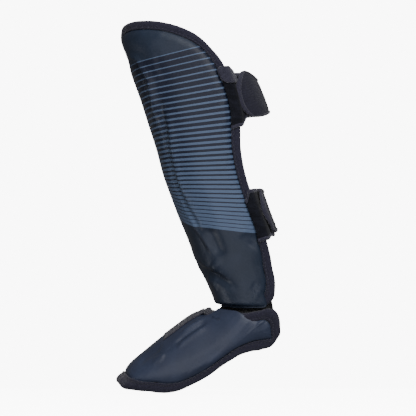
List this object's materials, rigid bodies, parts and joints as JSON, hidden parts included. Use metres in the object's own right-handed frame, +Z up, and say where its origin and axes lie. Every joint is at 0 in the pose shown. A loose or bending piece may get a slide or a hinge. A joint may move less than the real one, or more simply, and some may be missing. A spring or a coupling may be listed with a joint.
{
  "type": "padded shin and instep guard",
  "caption": "Padded leg guard: a U-shaped leather shin shell with bound edges, two calf straps and a padded instep shell joined at the ankle by cloth.",
  "frame": {"origin": "where the front of the shin rests on the pad's inner face, in the middle of its width and about halfway down", "axes": "+Z up along the standing leg, -Y towards the front of the shin and the toe, +Y towards the calf, X across; the strap ends close on the +X side"},
  "size_m": [0.142, 0.1871, 0.4208],
  "materials": {
    "leather": "satin",
    "binding_tape": "matte",
    "strap": "matte",
    "loop_panel": "matte",
    "ankle_cloth": "matte"
  },
  "bodies": {
    "root": {"shin_pad": "leather", "shin_binding": "binding_tape", "instep_pad": "leather", "instep_binding": "binding_tape", "instep_ridge_tape": "binding_tape", "ankle_hinge": "ankle_cloth", "upper_strap_root": "loop_panel", "upper_strap": "strap", "upper_strap_gusset": "binding_tape", "lower_strap_root": "loop_panel", "lower_strap": "strap", "sole_strap": "ankle_cloth"}
  },
  "joints": []
}
